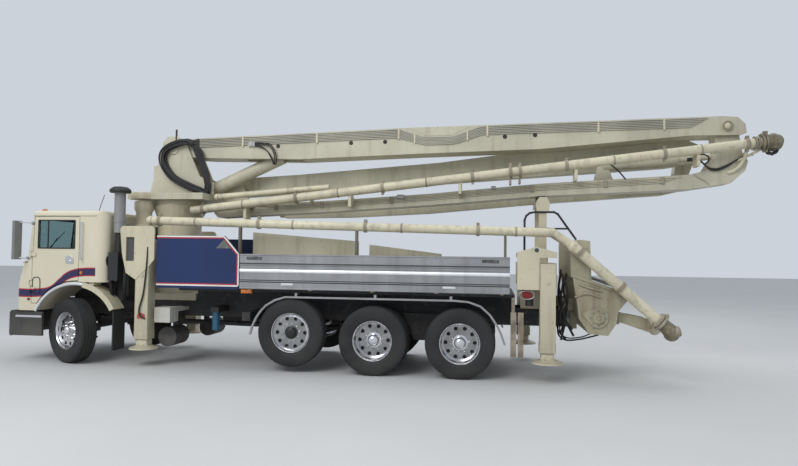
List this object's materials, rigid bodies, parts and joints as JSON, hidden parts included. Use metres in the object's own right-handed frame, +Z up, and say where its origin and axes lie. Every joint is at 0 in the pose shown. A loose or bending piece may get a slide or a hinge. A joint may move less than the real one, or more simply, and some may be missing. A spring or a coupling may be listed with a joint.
{
  "type": "truck-mounted concrete pump",
  "caption": "Cab-over truck carrying a concrete pump: a folded boom with its delivery pipes over the deck, jack legs on sliding beams and a rear hopper.",
  "frame": {"origin": "on the ground below the middle of the whole vehicle's box", "axes": "+X from the cab towards the hopper, +Y to the truck's right, +Z up"},
  "size_m": [12.5958, 2.87, 4.236],
  "materials": {
    "chassis_black": "worn black chassis paint",
    "engine_iron": "dark cast block",
    "bumper_steel": "dark paint with a light strip",
    "cream_paint": "weathered cream paint",
    "cab_glass": "tinted glass",
    "dark_trim": "dark cab trim",
    "bright_steel": "stainless trim",
    "dark_paint": "dark paint",
    "aluminium": "weathered mill aluminium",
    "navy_paint": "navy paint with a red and white border",
    "hydraulic_steel": "grey paint",
    "pipe_paint": "cream pipe paint with cement stains",
    "old_wood": "weathered boards",
    "lamp_red": "red lens",
    "worn_steel": "worn steel",
    "chrome_rod": "chromed rod",
    "tyre_rubber": "road tyre on a polished alloy disc",
    "jack_steel": "cream foot on a bright ram"
  },
  "bodies": {
    "chassis": {"frame": "chassis_black", "axles": "chassis_black", "engine": "engine_iron", "bumper": "bumper_steel", "cab_shell": "cream_paint", "cab_glass": "cab_glass", "cab_interior": "dark_trim", "cab_trim": "bright_steel", "air_cleaner": "dark_paint", "fenders": "aluminium", "side_boards": "aluminium", "side_panels": "navy_paint", "pedestal": "cream_paint", "rear_housing": "cream_paint", "deck": "cream_paint", "boom_rest": "cream_paint", "hopper": "cream_paint", "pump": "hydraulic_steel", "deck_pipe": "pipe_paint", "tanks": "dark_paint", "planks": "old_wood", "lamps": "lamp_red"},
    "door_left": {"door_left": "cream_paint"},
    "door_right": {"door_right": "cream_paint"},
    "knuckle_left": {"knuckle_left": "chassis_black"},
    "knuckle_right": {"knuckle_right": "chassis_black"},
    "wheel_front_left": {"wheel_front_left": "tyre_rubber"},
    "wheel_front_right": {"wheel_front_right": "tyre_rubber"},
    "wheel_lift_left": {"wheel_lift_left": "tyre_rubber"},
    "wheel_lift_right": {"wheel_lift_right": "tyre_rubber"},
    "wheel_drive_1_left": {"wheel_drive_1_left": "tyre_rubber"},
    "wheel_drive_1_right": {"wheel_drive_1_right": "tyre_rubber"},
    "wheel_drive_2_left": {"wheel_drive_2_left": "tyre_rubber"},
    "wheel_drive_2_right": {"wheel_drive_2_right": "tyre_rubber"},
    "agitator": {"agitator": "worn_steel"},
    "hopper_grate": {"hopper_grate": "worn_steel"},
    "beam_front_left": {"beam_front_left": "cream_paint"},
    "beam_front_right": {"beam_front_right": "cream_paint"},
    "beam_rear_left": {"beam_rear_left": "cream_paint"},
    "beam_rear_right": {"beam_rear_right": "cream_paint"},
    "leg_front_left": {"leg_front_left": "jack_steel"},
    "leg_front_right": {"leg_front_right": "jack_steel"},
    "leg_rear_left": {"leg_rear_left": "jack_steel"},
    "leg_rear_right": {"leg_rear_right": "jack_steel"},
    "turret": {"turret": "cream_paint"},
    "luff_barrel": {"luff_barrel": "cream_paint"},
    "luff_rod": {"luff_rod": "chrome_rod"},
    "boom_1": {"boom_1": "cream_paint"},
    "boom_2": {"boom_2": "cream_paint"},
    "boom_3": {"boom_3": "cream_paint"},
    "boom_4": {"boom_4": "cream_paint"}
  },
  "joints": [
    {"name": "door_left_hinge", "type": "hinge", "parent": "chassis", "child": "door_left", "pos_m": [-5.952, -1.204, 1.55], "axis": [0, 0, -1], "range_deg": [0, 70]},
    {"name": "door_right_hinge", "type": "hinge", "parent": "chassis", "child": "door_right", "pos_m": [-5.952, 1.204, 1.55], "axis": [0, 0, 1], "range_deg": [0, 70]},
    {"name": "steer_left", "type": "hinge", "parent": "chassis", "child": "knuckle_left", "pos_m": [-5.11, -0.835, 0.55], "axis": [0, 0, 1], "range_deg": [-15, 65]},
    {"name": "steer_right", "type": "hinge", "parent": "chassis", "child": "knuckle_right", "pos_m": [-5.11, 0.835, 0.55], "axis": [0, 0, 1], "range_deg": [-15, 65]},
    {"name": "spin_front_left", "type": "hinge", "parent": "knuckle_left", "child": "wheel_front_left", "pos_m": [-5.21565, -1.06158, 0.55], "axis": [0.4226, 0.9063, 0], "continuous": true},
    {"name": "spin_front_right", "type": "hinge", "parent": "knuckle_right", "child": "wheel_front_right", "pos_m": [-5.00434, 1.06158, 0.55], "axis": [0.4226, 0.9063, 0], "continuous": true},
    {"name": "spin_lift_left", "type": "hinge", "parent": "chassis", "child": "wheel_lift_left", "pos_m": [-1.265, -1.085, 0.64], "axis": [0, 1, 0], "continuous": true},
    {"name": "spin_lift_right", "type": "hinge", "parent": "chassis", "child": "wheel_lift_right", "pos_m": [-1.265, 1.085, 0.64], "axis": [0, 1, 0], "continuous": true},
    {"name": "spin_drive_1_left", "type": "hinge", "parent": "chassis", "child": "wheel_drive_1_left", "pos_m": [0.08, -0.9325, 0.55], "axis": [0, 1, 0], "continuous": true},
    {"name": "spin_drive_1_right", "type": "hinge", "parent": "chassis", "child": "wheel_drive_1_right", "pos_m": [0.08, 0.9325, 0.55], "axis": [0, 1, 0], "continuous": true},
    {"name": "spin_drive_2_left", "type": "hinge", "parent": "chassis", "child": "wheel_drive_2_left", "pos_m": [1.46, -0.9325, 0.55], "axis": [0, 1, 0], "continuous": true},
    {"name": "spin_drive_2_right", "type": "hinge", "parent": "chassis", "child": "wheel_drive_2_right", "pos_m": [1.46, 0.9325, 0.55], "axis": [0, 1, 0], "continuous": true},
    {"name": "agitator_spin", "type": "hinge", "parent": "chassis", "child": "agitator", "pos_m": [3.57, 0, 0.985], "axis": [0, 1, 0], "continuous": true},
    {"name": "grate_hinge", "type": "hinge", "parent": "chassis", "child": "hopper_grate", "pos_m": [3.228, 0, 1.709], "axis": [0, -1, 0], "range_deg": [0, 85]},
    {"name": "beam_front_left_slide", "type": "slide", "parent": "chassis", "child": "beam_front_left", "axis": [0, -1, 0], "range_m": [0, 1.6]},
    {"name": "leg_front_left_slide", "type": "slide", "parent": "beam_front_left", "child": "leg_front_left", "axis": [0, 0, -1], "range_m": [0, 0.55]},
    {"name": "beam_front_right_slide", "type": "slide", "parent": "chassis", "child": "beam_front_right", "axis": [0, 1, 0], "range_m": [0, 1.6]},
    {"name": "leg_front_right_slide", "type": "slide", "parent": "beam_front_right", "child": "leg_front_right", "axis": [0, 0, -1], "range_m": [0, 0.55]},
    {"name": "beam_rear_left_slide", "type": "slide", "parent": "chassis", "child": "beam_rear_left", "axis": [0, -1, 0], "range_m": [0, 1.6]},
    {"name": "leg_rear_left_slide", "type": "slide", "parent": "beam_rear_left", "child": "leg_rear_left", "axis": [0, 0, -1], "range_m": [0, 0.55]},
    {"name": "beam_rear_right_slide", "type": "slide", "parent": "chassis", "child": "beam_rear_right", "axis": [0, 1, 0], "range_m": [0, 1.6]},
    {"name": "leg_rear_right_slide", "type": "slide", "parent": "beam_rear_right", "child": "leg_rear_right", "axis": [0, 0, -1], "range_m": [0, 0.55]},
    {"name": "slew", "type": "hinge", "parent": "chassis", "child": "turret", "pos_m": [-3.84, 0, 2.845], "axis": [0, 0, 1], "range_deg": [-180, 180]},
    {"name": "luff", "type": "hinge", "parent": "turret", "child": "boom_1", "pos_m": [-3.85, 0, 3.8], "axis": [0, -1, 0], "range_deg": [0, 85]},
    {"name": "luff_barrel_pivot", "type": "hinge", "parent": "turret", "child": "luff_barrel", "pos_m": [-3.19, 0, 3.08], "axis": [0, -1, 0], "range_deg": [0, 80]},
    {"name": "luff_rod_slide", "type": "slide", "parent": "luff_barrel", "child": "luff_rod", "axis": [0.9132, 0, 0.4076], "range_m": [0, 1.3]},
    {"name": "fold_2", "type": "hinge", "parent": "boom_1", "child": "boom_2", "pos_m": [5.694, 0, 4.077], "axis": [0, -1, 0], "range_deg": [0, 180]},
    {"name": "fold_3", "type": "hinge", "parent": "boom_2", "child": "boom_3", "pos_m": [-2.86, 0, 3.125], "axis": [0, -1, 0], "range_deg": [0, 180]},
    {"name": "fold_4", "type": "hinge", "parent": "boom_3", "child": "boom_4", "pos_m": [5.29, 0, 3.74], "axis": [0, -1, 0], "range_deg": [0, 240]}
  ],
  "couplings": [
    {"joint": "steer_right", "follows": "steer_left", "ratio": 1},
    {"joint": "slew", "follows": "luff", "ratio": 1.5},
    {"joint": "luff_barrel_pivot", "follows": "luff", "ratio": 0.87375},
    {"joint": "luff_rod_slide", "follows": "luff", "m_per_rad": 0.84646},
    {"joint": "fold_2", "follows": "luff", "ratio": 0.25},
    {"joint": "fold_3", "follows": "luff", "ratio": 1},
    {"joint": "fold_4", "follows": "luff", "ratio": 0.7}
  ]
}
